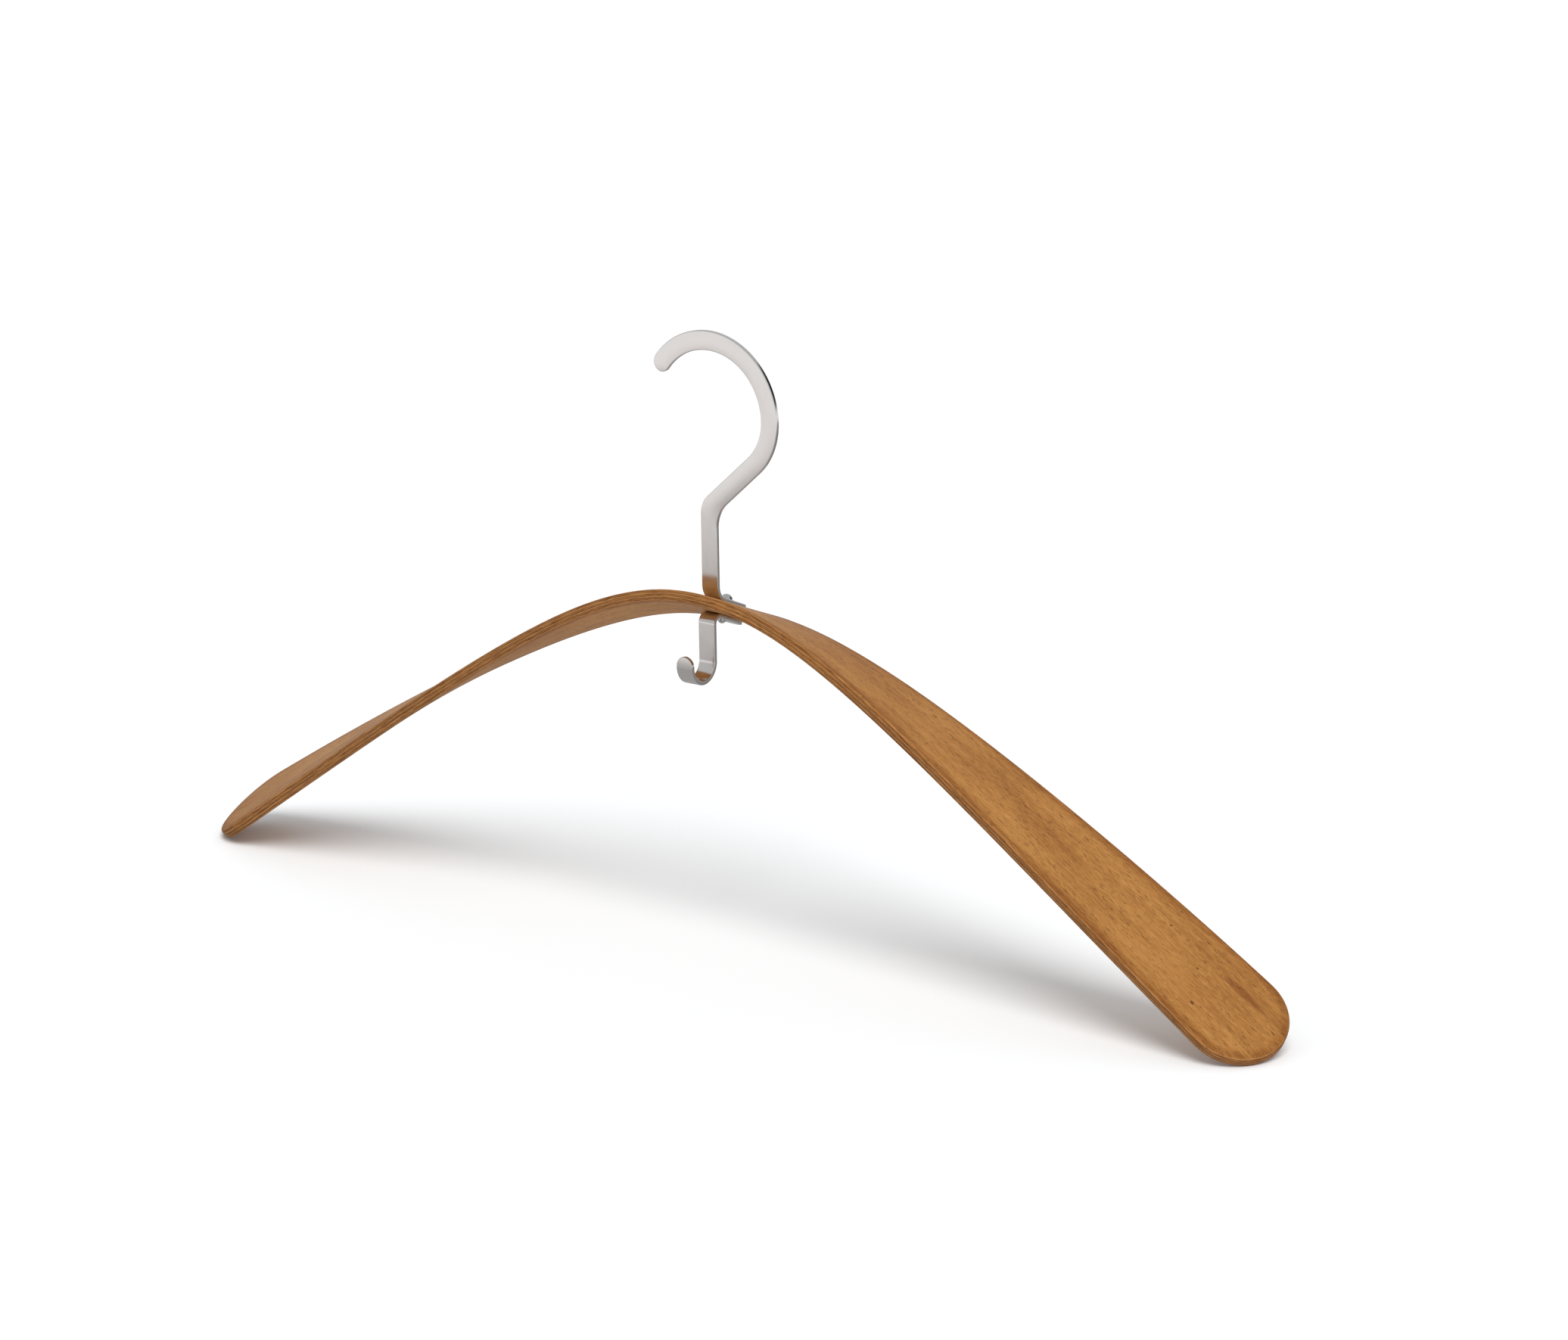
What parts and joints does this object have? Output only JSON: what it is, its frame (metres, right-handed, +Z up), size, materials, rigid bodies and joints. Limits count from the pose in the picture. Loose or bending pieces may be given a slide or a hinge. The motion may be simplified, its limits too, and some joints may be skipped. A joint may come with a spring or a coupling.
{
  "type": "clothes hanger",
  "caption": "Bent and twisted laminated wood clothes hanger with a flat steel rail hook above and a small J hook below, both riveted through the middle of the bow.",
  "frame": {"origin": "centre of the hanging hook's loop, in the middle of the strip's thickness, which is the axis of the rail it hangs on", "axes": "+Z up, +X along the bow towards the side where the loop is closed, -Y towards the front, where the accessory hook opens; the rail runs along Y"},
  "size_m": [0.458, 0.0358, 0.2168],
  "materials": {
    "face_wood": "satin oiled face veneer, warm honey brown",
    "core_wood": "satin oiled core veneer, slightly darker at the edge",
    "satin_steel": "satin stainless steel strip",
    "rivet_steel": "plain steel rivet"
  },
  "bodies": {
    "root": {"inner_face_veneer": "face_wood", "core_veneer_1": "core_wood", "core_veneer_2": "core_wood", "core_veneer_3": "core_wood", "core_veneer_4": "core_wood", "core_veneer_5": "core_wood", "outer_face_veneer": "face_wood", "hanging_hook": "satin_steel", "accessory_hook": "satin_steel", "dome_rivet": "rivet_steel"}
  },
  "joints": []
}
